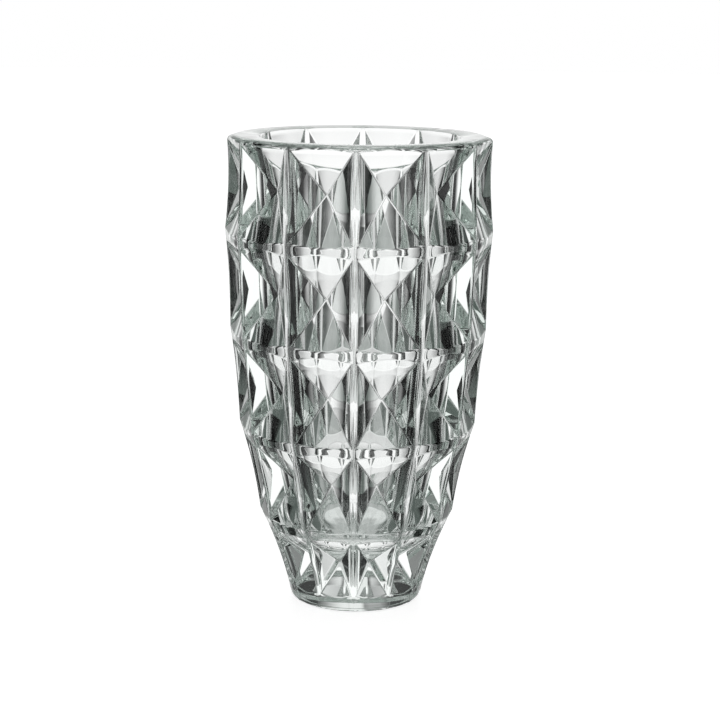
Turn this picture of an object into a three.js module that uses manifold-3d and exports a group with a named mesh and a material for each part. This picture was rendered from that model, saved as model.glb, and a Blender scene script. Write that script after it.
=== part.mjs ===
// Cut crystal vase: one heavy piece of clear glass, a tapering twelve-sided tumbler shape.
// Its outside is a lattice of narrow flat strips round twelve columns and five rows of sunk
// four-sided pyramids. The inside is a smooth round cavity over a thick solid base.
// Frame: millimetres, +Z up, the origin at the centre of the base, one upright strip facing -Y.
import * as THREE from "three";
import { ConvexGeometry } from "three/addons/geometries/ConvexGeometry.js";
import { mergeVertices } from "three/addons/utils/BufferGeometryUtils.js";
import Module from "manifold-3d";

// ---- Driving dimensions ----

const HEIGHT = 280;
const COLUMNS = 12;
const COLUMN_ANGLE = (2 * Math.PI) / COLUMNS;

// The shoulders of the upright strips, from the rim down: each is the widest place of its ring.
// A strip hollows by "sag" between its shoulder and the next one down.
const SHOULDERS = [
  { z: HEIGHT, radius: 78.2, sag: 1.3 },
  { z: 224.6, radius: 79.3, sag: 0.7 },
  { z: 165.4, radius: 76.3, sag: 0.8 },
  { z: 108.2, radius: 70.7, sag: 1.4 },
  { z: 54.4, radius: 58.2, sag: 2.0 },
  { z: 0, radius: 38.9, sag: 0 },
];
const STEPS_PER_ROW = 3;

// Each sunk pyramid starts a band below its shoulder and ends at the next shoulder.
const TILES = [
  { band: 3.5, centreZ: 251.2, centreRadius: 63.8 },
  { band: 8, centreZ: 191.9, centreRadius: 63.2 },
  { band: 8, centreZ: 133.5, centreRadius: 59.1 },
  { band: 8, centreZ: 80.6, centreRadius: 50.1 },
  { band: 8, centreZ: 29.7, centreRadius: 32.9 },
];
const LOWEST_TILE_Z = 11.5;
const STRIP_WIDTH = 3.2;
const CUTTER_REACH = 2.2;

// The lip rises from the outside faces to a flat crest 1 mm wide, then runs inwards as a broad,
// nearly flat top that rounds over into the cavity.
const CREST_OUTER_RADIUS = 72.5;
const CREST_INNER_RADIUS = 71.5;
const OUTER_LIP_DROP = 3.5;
const INNER_LIP_DROP = 1;
const ENVELOPE_RADIUS = 79.5;

// The base edge is rounded off to a resting ring round a slightly hollow underside.
const REST_RADIUS = 34.5;
const BASE_EDGE_RADIUS = 4.5;
const BASE_EDGE_RISE = 5;
const UNDERSIDE_RADIUS = 30;
const UNDERSIDE_DEPTH = 1;
const UNDERSIDE_STEPS = 5;

// The round cavity, from the middle of its floor up to the inner edge of the lip.
const CAVITY = [
  { radius: 0, z: 38 },
  { radius: 17, z: 40 },
  { radius: 34, z: 46 },
  { radius: 43.4, z: 80.6 },
  { radius: 51.6, z: 133.5 },
  { radius: 55, z: 191.9 },
  { radius: 56.8, z: 251.2 },
  { radius: 59, z: HEIGHT - INNER_LIP_DROP },
];
const CAVITY_STEPS = 14;
const MOUTH_CLEARANCE = 6;

const TURNED_SEGMENTS = 48;
const ARC_STEPS = 3;

// ---- Solids ----

const wasm = await Module();
wasm.setup();

// A closed three.js geometry as a solid for cutting and joining.
function solidFrom(geometry) {
  const bare = geometry.clone();
  bare.deleteAttribute("normal");
  bare.deleteAttribute("uv");
  const merged = mergeVertices(bare, 1e-4);
  const triVerts = new Uint32Array(merged.index.array);
  const vertProperties = new Float32Array(merged.attributes.position.array);
  return new wasm.Manifold(new wasm.Mesh({ numProp: 3, vertProperties, triVerts }));
}

// A solid back as a three.js geometry.
function geometryFrom(solid) {
  const mesh = solid.getMesh();
  const geometry = new THREE.BufferGeometry();
  geometry.setAttribute("position", new THREE.BufferAttribute(mesh.vertProperties, 3));
  geometry.setIndex(new THREE.BufferAttribute(mesh.triVerts, 1));
  geometry.computeVertexNormals();
  return geometry;
}

// A profile of (radius, height) points turned round Z, its first facet edge facing -Y.
function turned(profile, segments) {
  return new THREE.LatheGeometry(profile, segments).rotateX(Math.PI / 2);
}

// Points of a quarter ellipse from angle a to angle b, centred at (radius, z).
function quarterArc(radius, z, width, rise, a, b) {
  const points = [];
  for (let i = 0; i <= ARC_STEPS; i += 1) {
    const angle = a + ((b - a) * i) / ARC_STEPS;
    points.push(new THREE.Vector2(radius + width * Math.cos(angle), z + rise * Math.sin(angle)));
  }
  return points;
}

// ---- Outside ----

// The distance of an upright strip from the axis at height z.
function stripRadius(z) {
  const row = SHOULDERS.findIndex((shoulder, i) => i > 0 && z >= shoulder.z) - 1;
  const upper = SHOULDERS[row];
  const lower = SHOULDERS[row + 1];
  const t = (upper.z - z) / (upper.z - lower.z);
  const chord = upper.radius + t * (lower.radius - upper.radius);
  return chord - 4 * upper.sag * t * (1 - t);
}

// The heights of the strip profile's points, from the base up.
function stripHeights() {
  const heights = [];
  for (let row = SHOULDERS.length - 2; row >= 0; row -= 1) {
    const low = SHOULDERS[row + 1].z;
    const high = SHOULDERS[row].z;
    for (let i = 0; i < STEPS_PER_ROW; i += 1) heights.push(low + ((high - low) * i) / STEPS_PER_ROW);
  }
  heights.push(HEIGHT);
  return heights;
}

// A twelve-sided bar with its corners at cornerRadius(z).
function twelveSided(cornerRadius) {
  const profile = stripHeights().map((z) => new THREE.Vector2(cornerRadius(z), z));
  profile.unshift(new THREE.Vector2(0, 0));
  profile.push(new THREE.Vector2(0, HEIGHT));
  return turned(profile, COLUMNS);
}

// Broad faces with their corners where the strips lie, cut back flat along each strip.
function facetedBar() {
  const cornerAhead = (STRIP_WIDTH / 2) * Math.tan(COLUMN_ANGLE / 2);
  const broad = solidFrom(twelveSided((z) => stripRadius(z) + cornerAhead));
  const toCorner = 1 / Math.cos(COLUMN_ANGLE / 2);
  const strips = twelveSided((z) => stripRadius(z) * toCorner).rotateZ(COLUMN_ANGLE / 2);
  return broad.intersect(solidFrom(strips));
}

// The hollow underside's profile, from its middle out to the resting ring.
function undersideArc() {
  const points = [];
  for (let i = 0; i <= UNDERSIDE_STEPS; i += 1) {
    const t = i / UNDERSIDE_STEPS;
    points.push(new THREE.Vector2(UNDERSIDE_RADIUS * t, UNDERSIDE_DEPTH * (1 - t * t)));
  }
  return points;
}

// The round envelope that gives the lip, the base edge and the underside.
function turnedEnvelope() {
  const baseEdge = quarterArc(
    REST_RADIUS, BASE_EDGE_RISE, BASE_EDGE_RADIUS, BASE_EDGE_RISE, -Math.PI / 2, 0,
  );
  const lip = quarterArc(
    CREST_OUTER_RADIUS, HEIGHT - OUTER_LIP_DROP, ENVELOPE_RADIUS - CREST_OUTER_RADIUS,
    OUTER_LIP_DROP, 0, Math.PI / 2,
  );
  const profile = [
    ...undersideArc(),
    ...baseEdge,
    new THREE.Vector2(ENVELOPE_RADIUS, SHOULDERS.at(-2).z),
    ...lip,
    new THREE.Vector2(0, HEIGHT),
  ];
  return solidFrom(turned(profile, TURNED_SEGMENTS));
}

// A point on the edge of the upright strip number "column", at height z.
function stripEdge(column, side, z) {
  const angle = column * COLUMN_ANGLE;
  const radius = stripRadius(z);
  const along = (side * STRIP_WIDTH) / 2;
  return new THREE.Vector3(
    radius * Math.sin(angle) + along * Math.cos(angle),
    -radius * Math.cos(angle) + along * Math.sin(angle),
    z,
  );
}

// One sunk pyramid's cutter: its point is the tile's centre, and its edges run out through the
// tile's four corners.
function tileCutter(row, column) {
  const tile = TILES[row];
  const top = SHOULDERS[row].z - tile.band;
  const bottom = Math.max(SHOULDERS[row + 1].z, LOWEST_TILE_Z);
  const middle = (column + 0.5) * COLUMN_ANGLE;
  const centre = new THREE.Vector3(
    tile.centreRadius * Math.sin(middle),
    -tile.centreRadius * Math.cos(middle),
    tile.centreZ,
  );
  const corners = [
    stripEdge(column, 1, top),
    stripEdge(column + 1, -1, top),
    stripEdge(column, 1, bottom),
    stripEdge(column + 1, -1, bottom),
  ];
  const reached = corners.map((corner) => corner.sub(centre).multiplyScalar(CUTTER_REACH).add(centre));
  return solidFrom(new ConvexGeometry([centre, ...reached]));
}

// ---- Inside ----

// The smooth round cavity, from its floor up and out over the lip.
function cavity() {
  const wall = new THREE.SplineCurve(
    CAVITY.map((point) => new THREE.Vector2(point.radius, point.z)),
  ).getPoints(CAVITY_STEPS);
  wall[0].x = 0;
  const lipWidth = CREST_INNER_RADIUS - CAVITY.at(-1).radius;
  const lip = quarterArc(
    CREST_INNER_RADIUS, HEIGHT - INNER_LIP_DROP, lipWidth, INNER_LIP_DROP,
    Math.PI, Math.PI / 2,
  ).slice(1);
  const mouthZ = HEIGHT + MOUTH_CLEARANCE;
  const profile = [
    ...wall,
    ...lip,
    new THREE.Vector2(CREST_INNER_RADIUS, mouthZ),
    new THREE.Vector2(0, mouthZ),
  ];
  return solidFrom(turned(profile, TURNED_SEGMENTS));
}

// ---- The vase ----

function vaseBody() {
  let body = facetedBar().intersect(turnedEnvelope());
  for (let row = 0; row < TILES.length; row += 1) {
    for (let column = 0; column < COLUMNS; column += 1) body = body.subtract(tileCutter(row, column));
  }
  return body.subtract(cavity());
}

const crystal = new THREE.MeshStandardMaterial({
  name: "clear_crystal",
  color: 0xe3e9e6,
  roughness: 0.02,
  metalness: 0,
  transparent: true,
  opacity: 0.35,
});

const vase = new THREE.Group();
const body = new THREE.Mesh(geometryFrom(vaseBody()), crystal);
body.name = "vase_body";
vase.add(body);

export default vase;
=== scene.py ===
"""Cut crystal vase: the fine glass surface, its material, the studio and the camera.

Lengths in the dimension tables are millimetres, turned into metres where vertices are made.
The vase stands at the origin with +Z up, and one upright strip of its lattice faces -Y.
"""

import math

import bmesh
import bpy
from mathutils import Euler, Matrix, Vector


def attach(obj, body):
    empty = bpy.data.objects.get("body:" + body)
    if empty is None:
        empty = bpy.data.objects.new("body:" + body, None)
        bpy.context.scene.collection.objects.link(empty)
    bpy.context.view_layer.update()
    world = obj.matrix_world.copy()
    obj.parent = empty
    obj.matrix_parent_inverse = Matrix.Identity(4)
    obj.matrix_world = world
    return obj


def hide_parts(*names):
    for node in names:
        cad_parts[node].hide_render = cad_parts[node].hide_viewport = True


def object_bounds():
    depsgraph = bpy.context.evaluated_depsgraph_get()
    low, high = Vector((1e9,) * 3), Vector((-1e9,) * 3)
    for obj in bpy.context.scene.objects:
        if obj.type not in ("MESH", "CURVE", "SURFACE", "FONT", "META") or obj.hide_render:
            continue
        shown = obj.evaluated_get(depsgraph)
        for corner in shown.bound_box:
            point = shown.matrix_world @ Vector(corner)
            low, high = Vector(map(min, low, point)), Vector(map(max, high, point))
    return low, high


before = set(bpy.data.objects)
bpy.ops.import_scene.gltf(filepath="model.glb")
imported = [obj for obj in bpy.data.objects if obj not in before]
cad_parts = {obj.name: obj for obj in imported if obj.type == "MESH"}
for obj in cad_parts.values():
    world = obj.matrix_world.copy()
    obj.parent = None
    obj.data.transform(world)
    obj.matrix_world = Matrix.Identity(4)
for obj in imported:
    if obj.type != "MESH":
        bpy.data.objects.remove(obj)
cad_low, cad_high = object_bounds()

MM = 0.001

# ---- The cut lattice, as in the CAD model ----

HEIGHT = (cad_high.z - cad_low.z) / MM
COLUMNS = 12
COLUMN_ANGLE = 2 * math.pi / COLUMNS
HALF_COLUMN = COLUMN_ANGLE / 2

# The shoulders of the upright strips from the rim down: height, distance from the axis, and how
# far the strip hollows between this shoulder and the next.
SHOULDERS = (
    (HEIGHT, 78.2, 1.3),
    (224.6, 79.3, 0.7),
    (165.4, 76.3, 0.8),
    (108.2, 70.7, 1.4),
    (54.4, 58.2, 2.0),
    (0.0, 38.9, 0.0),
)
SHOULDER_SOFTNESS = 0.12

# The sunk pyramids from the top row down: the band above each, then its centre's height and
# distance from the axis.
TILES = (
    (3.5, 251.2, 63.8),
    (8.0, 191.9, 63.2),
    (8.0, 133.5, 59.1),
    (8.0, 80.6, 50.1),
    (8.0, 29.7, 32.9),
)
LOWEST_TILE_Z = 11.5
STRIP_WIDTH = 3.2
STRIP_CROWN = 0.5
BAND_BULGE = 1.0

CREST_RADIUS = 72.0
OUTER_LIP_DROP = 3.5
INNER_LIP_DROP = 1.0
REST_RADIUS = 34.5
BASE_EDGE_RISE = 5.0
UNDERSIDE_RADIUS = 30.0
UNDERSIDE_DEPTH = 1.0

# The cavity wall from the centre of its floor up to the foot of the lip: radius, height.
CAVITY = (
    (0.0, 38.0),
    (17.0, 40.0),
    (34.0, 46.0),
    (43.4, 80.6),
    (51.6, 133.5),
    (55.0, 191.9),
    (56.8, 251.2),
    (59.0, HEIGHT - INNER_LIP_DROP),
)
INNER_LIP_WIDTH = CREST_RADIUS - CAVITY[-1][0]

# ---- How finely the surface is divided ----

ACROSS = 12
STRIP_SPAN = (-1.0, -0.5, 0.0, 0.5, 1.0)
DOWN_TILE = 8
DOWN_BAND = 4
LIP_STEPS = 6
BASE_STEPS = 6
UNDERSIDE_STEPS = 14
CAVITY_STEPS_PER_SPAN = 9

# The place where a facet meets the band or the lip is found by halving a range again and again.
# The range starts at the tile's edge, and runs so many millimetres or so much of the lip's turn.
BAND_REACH = 6.0
LIP_REACH = 0.9
HALVINGS = 40

# ---- Rounded cut edges, in metres ----

EDGE_WIDTH = 1.25 * MM
EDGE_SEGMENTS = 3
FACET_WEIGHT = 50
WELD = 1e-6


def radial(angle):
    """The outward direction at an angle from -Y."""
    return Vector((math.sin(angle), -math.cos(angle), 0.0))


def tangent(angle):
    """The direction of growing angle."""
    return Vector((math.cos(angle), math.sin(angle), 0.0))


def strip_arc(row, z):
    """The hollowed line between one shoulder and the next, carried on beyond both."""
    top_z, top_radius, sag = SHOULDERS[row]
    low_z, low_radius, _ = SHOULDERS[row + 1]
    t = (top_z - z) / (top_z - low_z)
    return top_radius + t * (low_radius - top_radius) - 4 * sag * t * (1 - t)


def strip_radius(z):
    """The distance of an upright strip from the axis, softened over the shoulders."""
    rows = len(SHOULDERS) - 1
    row = next((i for i in range(rows) if z >= SHOULDERS[i + 1][0]), rows - 1)
    middle = (SHOULDERS[row][0] + SHOULDERS[row + 1][0]) / 2
    other = max(row - 1, 0) if z > middle else min(row + 1, rows - 1)
    near, far = sorted((strip_arc(row, z), strip_arc(other, z)))
    if row == other:
        return near
    return near - SHOULDER_SOFTNESS * math.log(1 + math.exp((near - far) / SHOULDER_SOFTNESS))


def strip_point(along, z):
    """A point of strip 0's flat ground, below its crown, so far along its width from the middle."""
    point = (strip_radius(z) - STRIP_CROWN) * radial(0) + along * tangent(0)
    point.z = z
    return point


def band_point(s, z):
    """A point on the broad face of column 0, s from -1 at one strip's edge to 1 at the next's."""
    radius = strip_radius(z) - STRIP_CROWN
    half = radius * math.sin(HALF_COLUMN) - STRIP_WIDTH / 2 * math.cos(HALF_COLUMN)
    depth = radius * math.cos(HALF_COLUMN) + STRIP_WIDTH / 2 * math.sin(HALF_COLUMN)
    depth += BAND_BULGE * (1 - s * s)
    point = depth * radial(HALF_COLUMN) + s * half * tangent(HALF_COLUMN)
    point.z = z
    return point


def lip_point(plan, turn):
    """The lip above a point of the outline: turn is 0 at the outline and 1 at the crest."""
    flat = Vector((plan.x, plan.y, 0.0))
    crest = flat.normalized() * CREST_RADIUS
    point = crest + (flat - crest) * math.cos(turn * math.pi / 2)
    point.z = HEIGHT - OUTER_LIP_DROP + OUTER_LIP_DROP * math.sin(turn * math.pi / 2)
    return point


def base_point(plan, turn):
    """The base edge below a point of the outline: turn is 0 at the outline and 1 at the rest."""
    flat = Vector((plan.x, plan.y, 0.0))
    rest = flat.normalized() * REST_RADIUS
    point = rest + (flat - rest) * math.cos(turn * math.pi / 2)
    point.z = BASE_EDGE_RISE - BASE_EDGE_RISE * math.sin(turn * math.pi / 2)
    return point


def underside_point(plan, t):
    """The hollow underside from the resting ring, t 0, to its middle, t 1."""
    radius = REST_RADIUS * (1 - t)
    point = Vector((plan.x, plan.y, 0.0)).normalized() * radius
    point.z = UNDERSIDE_DEPTH * max(0.0, 1 - (radius / UNDERSIDE_RADIUS) ** 2)
    return point


def root(function, low, high):
    """Where a function that changes sign between low and high is zero."""
    sign = 1 if function(high) > 0 else -1
    for _ in range(HALVINGS):
        middle = (low + high) / 2
        if sign * function(middle) > 0:
            high = middle
        else:
            low = middle
    return (low + high) / 2


def steps(count):
    """Even steps from 0 to 1, both ends included."""
    return [i / count for i in range(count + 1)]


class Tile:
    """One sunk pyramid of column 0: its centre, its corners and its four edge lines."""

    def __init__(self, row):
        band, centre_z, centre_radius = TILES[row]
        self.row = row
        self.top = SHOULDERS[row][0] - band
        self.bottom = max(SHOULDERS[row + 1][0], LOWEST_TILE_Z)
        self.centre = centre_radius * radial(HALF_COLUMN)
        self.centre.z = centre_z
        self.heights = [self.top + (self.bottom - self.top) * t for t in steps(DOWN_TILE)]

    def normal(self, first, second):
        """The normal of the facet through the centre and two corners."""
        return (first - self.centre).cross(second - self.centre).normalized()

    def side_edge(self):
        """Where the facet beside strip 0 meets the strip, from the top corner down."""
        upper = strip_point(STRIP_WIDTH / 2, self.top)
        lower = strip_point(STRIP_WIDTH / 2, self.bottom)
        normal = self.normal(upper, lower)
        edge = []
        for z in self.heights:
            on_strip = strip_point(0, z)
            along = -normal.dot(on_strip - self.centre) / normal.dot(tangent(0))
            edge.append(strip_point(along, z))
        return edge

    def level_edge(self, z, reach):
        """Where the facet above or below the centre meets the band at height z."""
        normal = self.normal(band_point(-1, z), band_point(1, z))
        edge = []
        for t in steps(ACROSS):
            s = 2 * t - 1
            if abs(s) == 1:
                edge.append(band_point(s, z))
                continue
            height = root(
                lambda h: normal.dot(band_point(s, h) - self.centre), z, z + reach
            )
            edge.append(band_point(s, height))
        return edge

    def lip_edge(self):
        """Where the top row's upper facet meets the lip, as turns of the lip."""
        normal = self.normal(band_point(-1, self.top), band_point(1, self.top))
        turns = []
        for t in steps(ACROSS):
            plan = band_point(2 * t - 1, self.top)
            if t in (0, 1):
                turns.append(0.0)
                continue
            turns.append(
                root(lambda u: normal.dot(lip_point(plan, u) - self.centre), 0.0, LIP_REACH)
            )
        return turns


def mirrored(points):
    """Points of column 0 reflected in the column's middle plane."""
    axis = tangent(HALF_COLUMN)
    return [p - 2 * p.dot(axis) * axis for p in points]


class Surface:
    """Collects faces of column 0 and repeats them round the axis."""

    def __init__(self):
        self.bm = bmesh.new()
        self.cut = self.bm.faces.layers.int.new("cut")

    def face(self, points, cut=False):
        """One face of column 0, made again in every column."""
        for column in range(COLUMNS):
            turn = Matrix.Rotation(column * COLUMN_ANGLE, 3, "Z")
            corners = [self.bm.verts.new((turn @ p) * MM) for p in points]
            made = self.bm.faces.new(corners)
            made[self.cut] = int(cut)
            made.smooth = True

    def grid(self, rows):
        """Quads between neighbouring rows of points."""
        for upper, lower in zip(rows, rows[1:]):
            for i in range(len(upper) - 1):
                self.face([upper[i], lower[i], lower[i + 1], upper[i + 1]])


def strip_rows(edge):
    """Rows across strip 0, from its one edge to the mirrored one, crowned outwards."""
    return [
        [Vector((s * p.x, p.y - STRIP_CROWN * (1 - s * s), p.z)) for s in STRIP_SPAN]
        for p in edge
    ]


def add_tile(surface, tile, upper_edge, lower_edge):
    """The four flat facets of one tile."""
    left = tile.side_edge()
    right = mirrored(left)
    surface.face([tile.centre, *left[::-1]][::-1], cut=True)
    surface.face([tile.centre, *right[::-1]], cut=True)
    surface.face([tile.centre, *upper_edge][::-1], cut=True)
    surface.face([tile.centre, *lower_edge], cut=True)
    surface.grid(strip_rows(left))


def add_band(surface, row, lower_edge_above, upper_edge_below):
    """The band between two rows of tiles, and the crossing of its strips."""
    rows = []
    for t in steps(DOWN_BAND):
        line = []
        for above, below, u in zip(lower_edge_above, upper_edge_below, steps(ACROSS)):
            line.append(band_point(2 * u - 1, above.z + (below.z - above.z) * t))
        rows.append(line)
    surface.grid(rows)
    band = TILES[row][0]
    shoulder = SHOULDERS[row][0]
    edge = [strip_point(STRIP_WIDTH / 2, shoulder - band * t) for t in steps(DOWN_BAND)]
    surface.grid(strip_rows(edge))


def rim_outline(tile):
    """Points of the outline under the lip and the lip turn each starts at."""
    strip = strip_rows([strip_point(STRIP_WIDTH / 2, tile.top)])[0]
    band = [band_point(2 * t - 1, tile.top) for t in steps(ACROSS)]
    return strip, band, tile.lip_edge()


def add_lip(surface, tile):
    """The rounded lip from the outline up to its crest."""
    strip, band, turns = rim_outline(tile)
    surface.grid([[lip_point(p, u) for p in strip] for u in steps(LIP_STEPS)[::-1]])
    rows = []
    for u in steps(LIP_STEPS)[::-1]:
        rows.append([lip_point(p, start + (1 - start) * u) for p, start in zip(band, turns)])
    surface.grid(rows)


def add_base(surface, tile, lower_edge):
    """The plain wall under the lowest tiles, the base edge and the resting face."""
    band_rows = []
    strip_edge = []
    for t in steps(DOWN_BAND):
        line = []
        for above, u in zip(lower_edge, steps(ACROSS)):
            line.append(band_point(2 * u - 1, above.z + (BASE_EDGE_RISE - above.z) * t))
        band_rows.append(line)
        z = tile.bottom + (BASE_EDGE_RISE - tile.bottom) * t
        strip_edge.append(strip_point(STRIP_WIDTH / 2, z))
    surface.grid(band_rows)
    surface.grid(strip_rows(strip_edge))
    for outline in (band_rows[-1], strip_rows(strip_edge)[-1]):
        surface.grid([[base_point(p, t) for p in outline] for t in steps(BASE_STEPS)])
        hollow = [[underside_point(p, t) for p in outline] for t in steps(UNDERSIDE_STEPS)[:-1]]
        surface.grid(hollow)
        middle = Vector((0.0, 0.0, UNDERSIDE_DEPTH))
        for first, second in zip(hollow[-1], hollow[-1][1:]):
            surface.face([first, middle, second])


def cavity_profile():
    """The cavity's smooth profile from the crest down to the floor's centre: radius, height."""
    profile = []
    for t in steps(LIP_STEPS)[:-1]:
        angle = t * math.pi / 2
        profile.append((
            CREST_RADIUS - INNER_LIP_WIDTH * math.sin(angle),
            HEIGHT - INNER_LIP_DROP + INNER_LIP_DROP * math.cos(angle),
        ))
    knots = [Vector(k) for k in CAVITY[::-1]]
    knots = [2 * knots[0] - knots[1], *knots, Vector((-knots[-2].x, knots[-2].y))]
    for p0, p1, p2, p3 in zip(knots, knots[1:], knots[2:], knots[3:]):
        for t in steps(CAVITY_STEPS_PER_SPAN)[:-1]:
            point = 0.5 * (
                2 * p1 + (p2 - p0) * t + (2 * p0 - 5 * p1 + 4 * p2 - p3) * t**2
                + (3 * p1 - p0 - 3 * p2 + p3) * t**3
            )
            profile.append((point.x, point.y))
    profile.append(CAVITY[0])
    return profile


def add_cavity(surface, tile):
    """The smooth round inside, on the same upright lines as the lip."""
    strip, band, _ = rim_outline(tile)
    for outline in (strip, band):
        rows = []
        for radius, z in cavity_profile():
            row = []
            for p in outline:
                point = Vector((p.x, p.y, 0.0)).normalized() * radius
                point.z = z
                row.append(point)
            rows.append(row[::-1])
        surface.grid(rows[:-1])
        last = rows[-2]
        for first, second in zip(last, last[1:]):
            surface.face([first, rows[-1][0], second])


def build_glass():
    """The whole vase as one closed mesh with its cut edges slightly rounded."""
    surface = Surface()
    tiles = [Tile(row) for row in range(len(TILES))]
    uppers = []
    lowers = []
    for tile in tiles:
        if tile.row == 0:
            outline = [band_point(2 * t - 1, tile.top) for t in steps(ACROSS)]
            uppers.append([lip_point(p, u) for p, u in zip(outline, tile.lip_edge())])
        else:
            uppers.append(tile.level_edge(tile.top, BAND_REACH))
        lowers.append(tile.level_edge(tile.bottom, -BAND_REACH))
    for tile, upper, lower in zip(tiles, uppers, lowers):
        add_tile(surface, tile, upper, lower)
    for row in range(1, len(TILES)):
        add_band(surface, row, lowers[row - 1], uppers[row])
    add_lip(surface, tiles[0])
    add_base(surface, tiles[-1], lowers[-1])
    add_cavity(surface, tiles[0])
    return finish_glass(surface)


def finish_glass(surface):
    """Welds the mesh, marks the cut edges and adds the rounding modifiers."""
    bm = surface.bm
    bmesh.ops.remove_doubles(bm, verts=bm.verts, dist=WELD)
    weight = bm.edges.layers.float.new("bevel_weight_edge")
    for edge in bm.edges:
        if any(face[surface.cut] for face in edge.link_faces):
            edge[weight] = 1.0
    mesh = bpy.data.meshes.new("vase_glass")
    bm.to_mesh(mesh)
    bm.free()
    glass = bpy.data.objects.new("vase_glass", mesh)
    bpy.context.scene.collection.objects.link(glass)
    bevel = glass.modifiers.new("rounded edges", "BEVEL")
    bevel.limit_method = "WEIGHT"
    bevel.offset_type = "WIDTH"
    bevel.width = EDGE_WIDTH
    bevel.segments = EDGE_SEGMENTS
    normals = glass.modifiers.new("flat facets", "WEIGHTED_NORMAL")
    normals.weight = FACET_WEIGHT
    normals.keep_sharp = True
    return glass


# ---- Material ----

GLASS_IOR = 1.53
GLASS_COLOUR = (1.0, 1.0, 1.0, 1.0)
GLASS_TINT = (0.86, 0.94, 0.90, 1.0)
TINT_DENSITY = 6.0
WAVES_PER_METRE = 60.0
WAVE_HEIGHT = 0.02 * MM
WAVE_STRENGTH = 0.5


def crystal_material():
    """Clear crystal, faintly wavy, with a faint green-grey tint that grows with depth."""
    material = bpy.data.materials.new("clear_crystal")
    material.use_nodes = True
    nodes = material.node_tree.nodes
    links = material.node_tree.links
    shader = nodes["Principled BSDF"]
    shader.inputs["Base Color"].default_value = GLASS_COLOUR
    shader.inputs["Roughness"].default_value = 0.0
    shader.inputs["IOR"].default_value = GLASS_IOR
    shader.inputs["Transmission Weight"].default_value = 1.0
    coordinates = nodes.new("ShaderNodeTexCoord")
    waves = nodes.new("ShaderNodeTexNoise")
    waves.inputs["Scale"].default_value = WAVES_PER_METRE
    bump = nodes.new("ShaderNodeBump")
    bump.inputs["Strength"].default_value = WAVE_STRENGTH
    bump.inputs["Distance"].default_value = WAVE_HEIGHT
    links.new(coordinates.outputs["Object"], waves.inputs["Vector"])
    links.new(waves.outputs["Fac"], bump.inputs["Height"])
    links.new(bump.outputs["Normal"], shader.inputs["Normal"])
    absorption = nodes.new("ShaderNodeVolumeAbsorption")
    absorption.inputs["Color"].default_value = GLASS_TINT
    absorption.inputs["Density"].default_value = TINT_DENSITY
    links.new(absorption.outputs["Volume"], nodes["Material Output"].inputs["Volume"])
    return material


# ---- Studio ----

# Panels of light that the glass sees. Azimuth 0 is straight behind the vase and 180 degrees is
# straight in front of it, where the camera is. Dark gaps at its sides give the cuts their contrast.
# Brightness, azimuth of its middle, half width, softness of its sides, lowest and highest
# elevation. The last three go all round: a ring overhead, the ceiling and the table's middle.
PANELS = (
    (1.12, 0.0, 30.0, 10.0, -12.0, 6.0),
    (0.68, 0.0, 30.0, 12.0, -40.0, -12.0),
    (0.34, 0.0, 20.0, 10.0, -60.0, -40.0),
    (0.86, 0.0, 16.0, 12.0, 6.0, 55.0),
    (0.95, 180.0, 74.0, 6.0, -12.0, 6.0),
    (0.28, 180.0, 74.0, 6.0, -60.0, -12.0),
    (0.20, 180.0, 74.0, 6.0, 6.0, 55.0),
    (0.32, 0.0, 180.0, 1.0, 41.0, 60.0),
    (0.25, 0.0, 180.0, 1.0, 60.0, 100.0),
    (0.32, 0.0, 180.0, 1.0, -100.0, -60.0),
)
PANEL_FEATHER = 4.0
PANEL_COLOUR = (1.0, 1.0, 1.0)
BACKDROP_COLOUR = (1.0, 1.0, 1.0)

# The plain light behind the panels: the dark sides, then what the ceiling and the table add, each
# with the elevation it starts at, upwards for the ceiling and downwards for the table.
DARK_SIDES = (0.0, 0.0, 0.0)
CEILING = (6.0, (0.05, 0.05, 0.05))
TABLE = (-25.0, (0.100, 0.120, 0.110))

FLOOR_RADIUS = 6.0
FLOOR_SEGMENTS = 96
FLOOR_ROUGHNESS = 0.6
FLOOR_COLOUR = (0.85, 0.85, 0.85, 1.0)
FLOOR_GLOW = 0.8
FLOOR_GLOW_COLOUR = (1.0, 1.0, 1.0, 1.0)


def math_node(nodes, links, operation, first, second=None):
    """A math node with each input a socket or a number."""
    node = nodes.new("ShaderNodeMath")
    node.operation = operation
    for i, value in enumerate((first, second)):
        if value is None:
            continue
        if isinstance(value, (int, float)):
            node.inputs[i].default_value = value
        else:
            links.new(value, node.inputs[i])
    return node.outputs[0]


def soft_step(nodes, links, value, middle, softness, falling=False):
    """A smooth step of an angle socket, up or down round a middle given in degrees."""
    node = nodes.new("ShaderNodeMapRange")
    node.interpolation_type = "SMOOTHSTEP"
    node.inputs["From Min"].default_value = math.radians(middle - softness)
    node.inputs["From Max"].default_value = math.radians(middle + softness)
    node.inputs["To Min"].default_value = 1.0 if falling else 0.0
    node.inputs["To Max"].default_value = 0.0 if falling else 1.0
    links.new(value, node.inputs["Value"])
    return node.outputs[0]


def panel_light(nodes, links, azimuth, elevation, panel):
    """The brightness of one soft-edged panel in the direction looked in."""
    level, middle, half_width, softness, low, high = panel
    offset = math_node(nodes, links, "SUBTRACT", azimuth, math.radians(middle))
    offset = math_node(nodes, links, "ABSOLUTE", offset)
    across = soft_step(nodes, links, offset, half_width, softness, falling=True)
    above = soft_step(nodes, links, elevation, low, PANEL_FEATHER)
    below = soft_step(nodes, links, elevation, high, PANEL_FEATHER, falling=True)
    upright = math_node(nodes, links, "MULTIPLY", above, below)
    inside = math_node(nodes, links, "MULTIPLY", across, upright)
    return math_node(nodes, links, "MULTIPLY", inside, level)


def added_light(nodes, links, light, share, colour):
    """Light with a share of a colour added to it."""
    node = nodes.new("ShaderNodeVectorMath")
    node.operation = "MULTIPLY_ADD"
    links.new(share, node.inputs[0])
    node.inputs[1].default_value = colour
    links.new(light, node.inputs[2])
    return node.outputs[0]


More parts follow.
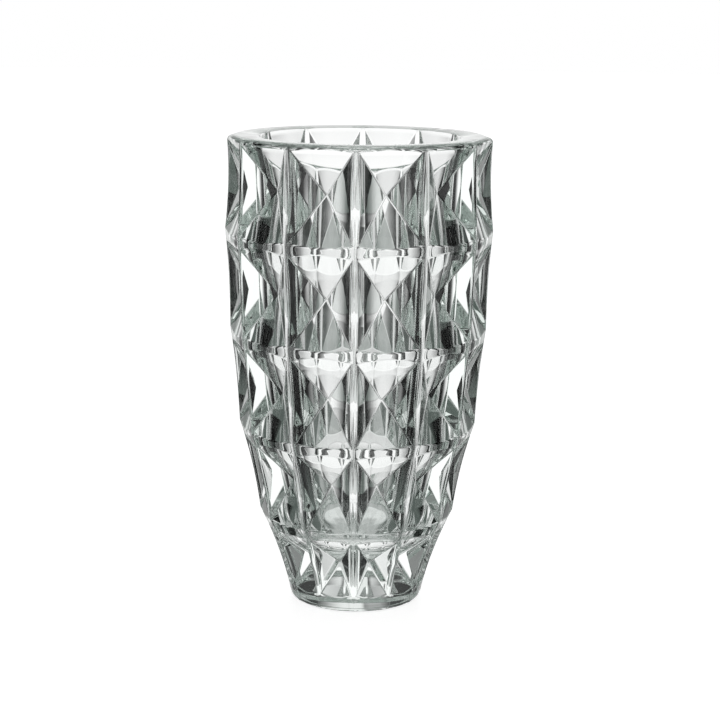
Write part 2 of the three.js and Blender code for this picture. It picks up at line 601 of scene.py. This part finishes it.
def studio_world():
    """Soft panels round the vase and overhead, dark gaps, and a plain white backdrop."""
    world = bpy.data.worlds.new("studio")
    world.use_nodes = True
    nodes = world.node_tree.nodes
    links = world.node_tree.links
    coordinates = nodes.new("ShaderNodeTexCoord")
    split = nodes.new("ShaderNodeSeparateXYZ")
    links.new(coordinates.outputs["Generated"], split.inputs[0])
    x, y, z = split.outputs
    aside = math_node(nodes, links, "ABSOLUTE", x)
    azimuth = math_node(nodes, links, "ARCTAN2", aside, y)
    elevation = math_node(nodes, links, "ARCSINE", z)
    upper = soft_step(nodes, links, elevation, CEILING[0], PANEL_FEATHER)
    lower = soft_step(nodes, links, elevation, TABLE[0], PANEL_FEATHER, falling=True)
    light = nodes.new("ShaderNodeCombineXYZ").outputs[0]
    for socket, level in zip(light.node.inputs, DARK_SIDES):
        socket.default_value = level
    for share, colour in ((upper, CEILING[1]), (lower, TABLE[1])):
        light = added_light(nodes, links, light, share, colour)
    for panel in PANELS:
        share = panel_light(nodes, links, azimuth, elevation, panel)
        light = added_light(nodes, links, light, share, PANEL_COLOUR)
    seen = nodes.new("ShaderNodeLightPath").outputs["Is Camera Ray"]
    # A vector mix takes its factor at input 0 and its two vectors at 4 and 5.
    choice = nodes.new("ShaderNodeMix")
    choice.data_type = "VECTOR"
    links.new(seen, choice.inputs[0])
    links.new(light, choice.inputs[4])
    choice.inputs[5].default_value = BACKDROP_COLOUR
    links.new(choice.outputs[1], nodes["Background"].inputs["Color"])
    bpy.context.scene.world = world


def pale_floor():
    """A plain pale floor. The glass looks past it into the studio's lower half."""
    mesh = bpy.data.meshes.new("floor")
    bm = bmesh.new()
    bmesh.ops.create_circle(bm, cap_ends=True, segments=FLOOR_SEGMENTS, radius=FLOOR_RADIUS)
    bm.to_mesh(mesh)
    bm.free()
    floor = bpy.data.objects.new("floor", mesh)
    bpy.context.scene.collection.objects.link(floor)
    floor.visible_transmission = False
    floor.visible_glossy = False
    material = bpy.data.materials.new("pale_floor")
    material.use_nodes = True
    shader = material.node_tree.nodes["Principled BSDF"]
    shader.inputs["Base Color"].default_value = FLOOR_COLOUR
    shader.inputs["Roughness"].default_value = FLOOR_ROUGHNESS
    shader.inputs["Emission Color"].default_value = FLOOR_GLOW_COLOUR
    shader.inputs["Emission Strength"].default_value = FLOOR_GLOW
    mesh.materials.append(material)


# ---- Camera and render settings ----

# The camera looks along +Y, turned round the vase, tipped down and rolled. Places are in metres,
# the lens and the sensor in millimetres.
CAMERA_DISTANCE = 1.2127
CAMERA_HEIGHT = 0.3817
CAMERA_ASIDE = 0.0014
CAMERA_YAW = math.radians(1.40)
CAMERA_PITCH = math.radians(11.02)
CAMERA_ROLL = math.radians(0.586)
CAMERA_LENS = 103.3
SENSOR_WIDTH = 36.0

LIGHT_BOUNCES = 32
GLOSSY_BOUNCES = 16


def add_camera():
    """The camera at the photograph's viewing angle."""
    data = bpy.data.cameras.new("camera")
    data.lens = CAMERA_LENS
    data.sensor_width = SENSOR_WIDTH
    camera = bpy.data.objects.new("camera", data)
    bpy.context.scene.collection.objects.link(camera)
    turn = Matrix.Rotation(CAMERA_YAW, 4, "Z")
    place = Matrix.Translation((CAMERA_ASIDE, -CAMERA_DISTANCE, CAMERA_HEIGHT))
    tilt = Euler((math.pi / 2 - CAMERA_PITCH, 0, 0)).to_matrix().to_4x4()
    roll = Matrix.Rotation(CAMERA_ROLL, 4, "Z")
    camera.matrix_world = turn @ place @ tilt @ roll
    bpy.context.scene.camera = camera


def render_settings():
    """Enough bounces for thick clear glass, and plain whites."""
    scene = bpy.context.scene
    scene.view_settings.view_transform = "Standard"
    scene.cycles.max_bounces = LIGHT_BOUNCES
    scene.cycles.transmission_bounces = LIGHT_BOUNCES
    scene.cycles.glossy_bounces = GLOSSY_BOUNCES
    scene.cycles.use_denoising = True


glass = build_glass()
glass.data.materials.append(crystal_material())
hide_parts("vase_body")
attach(glass, "root")
studio_world()
pale_floor()
add_camera()
render_settings()
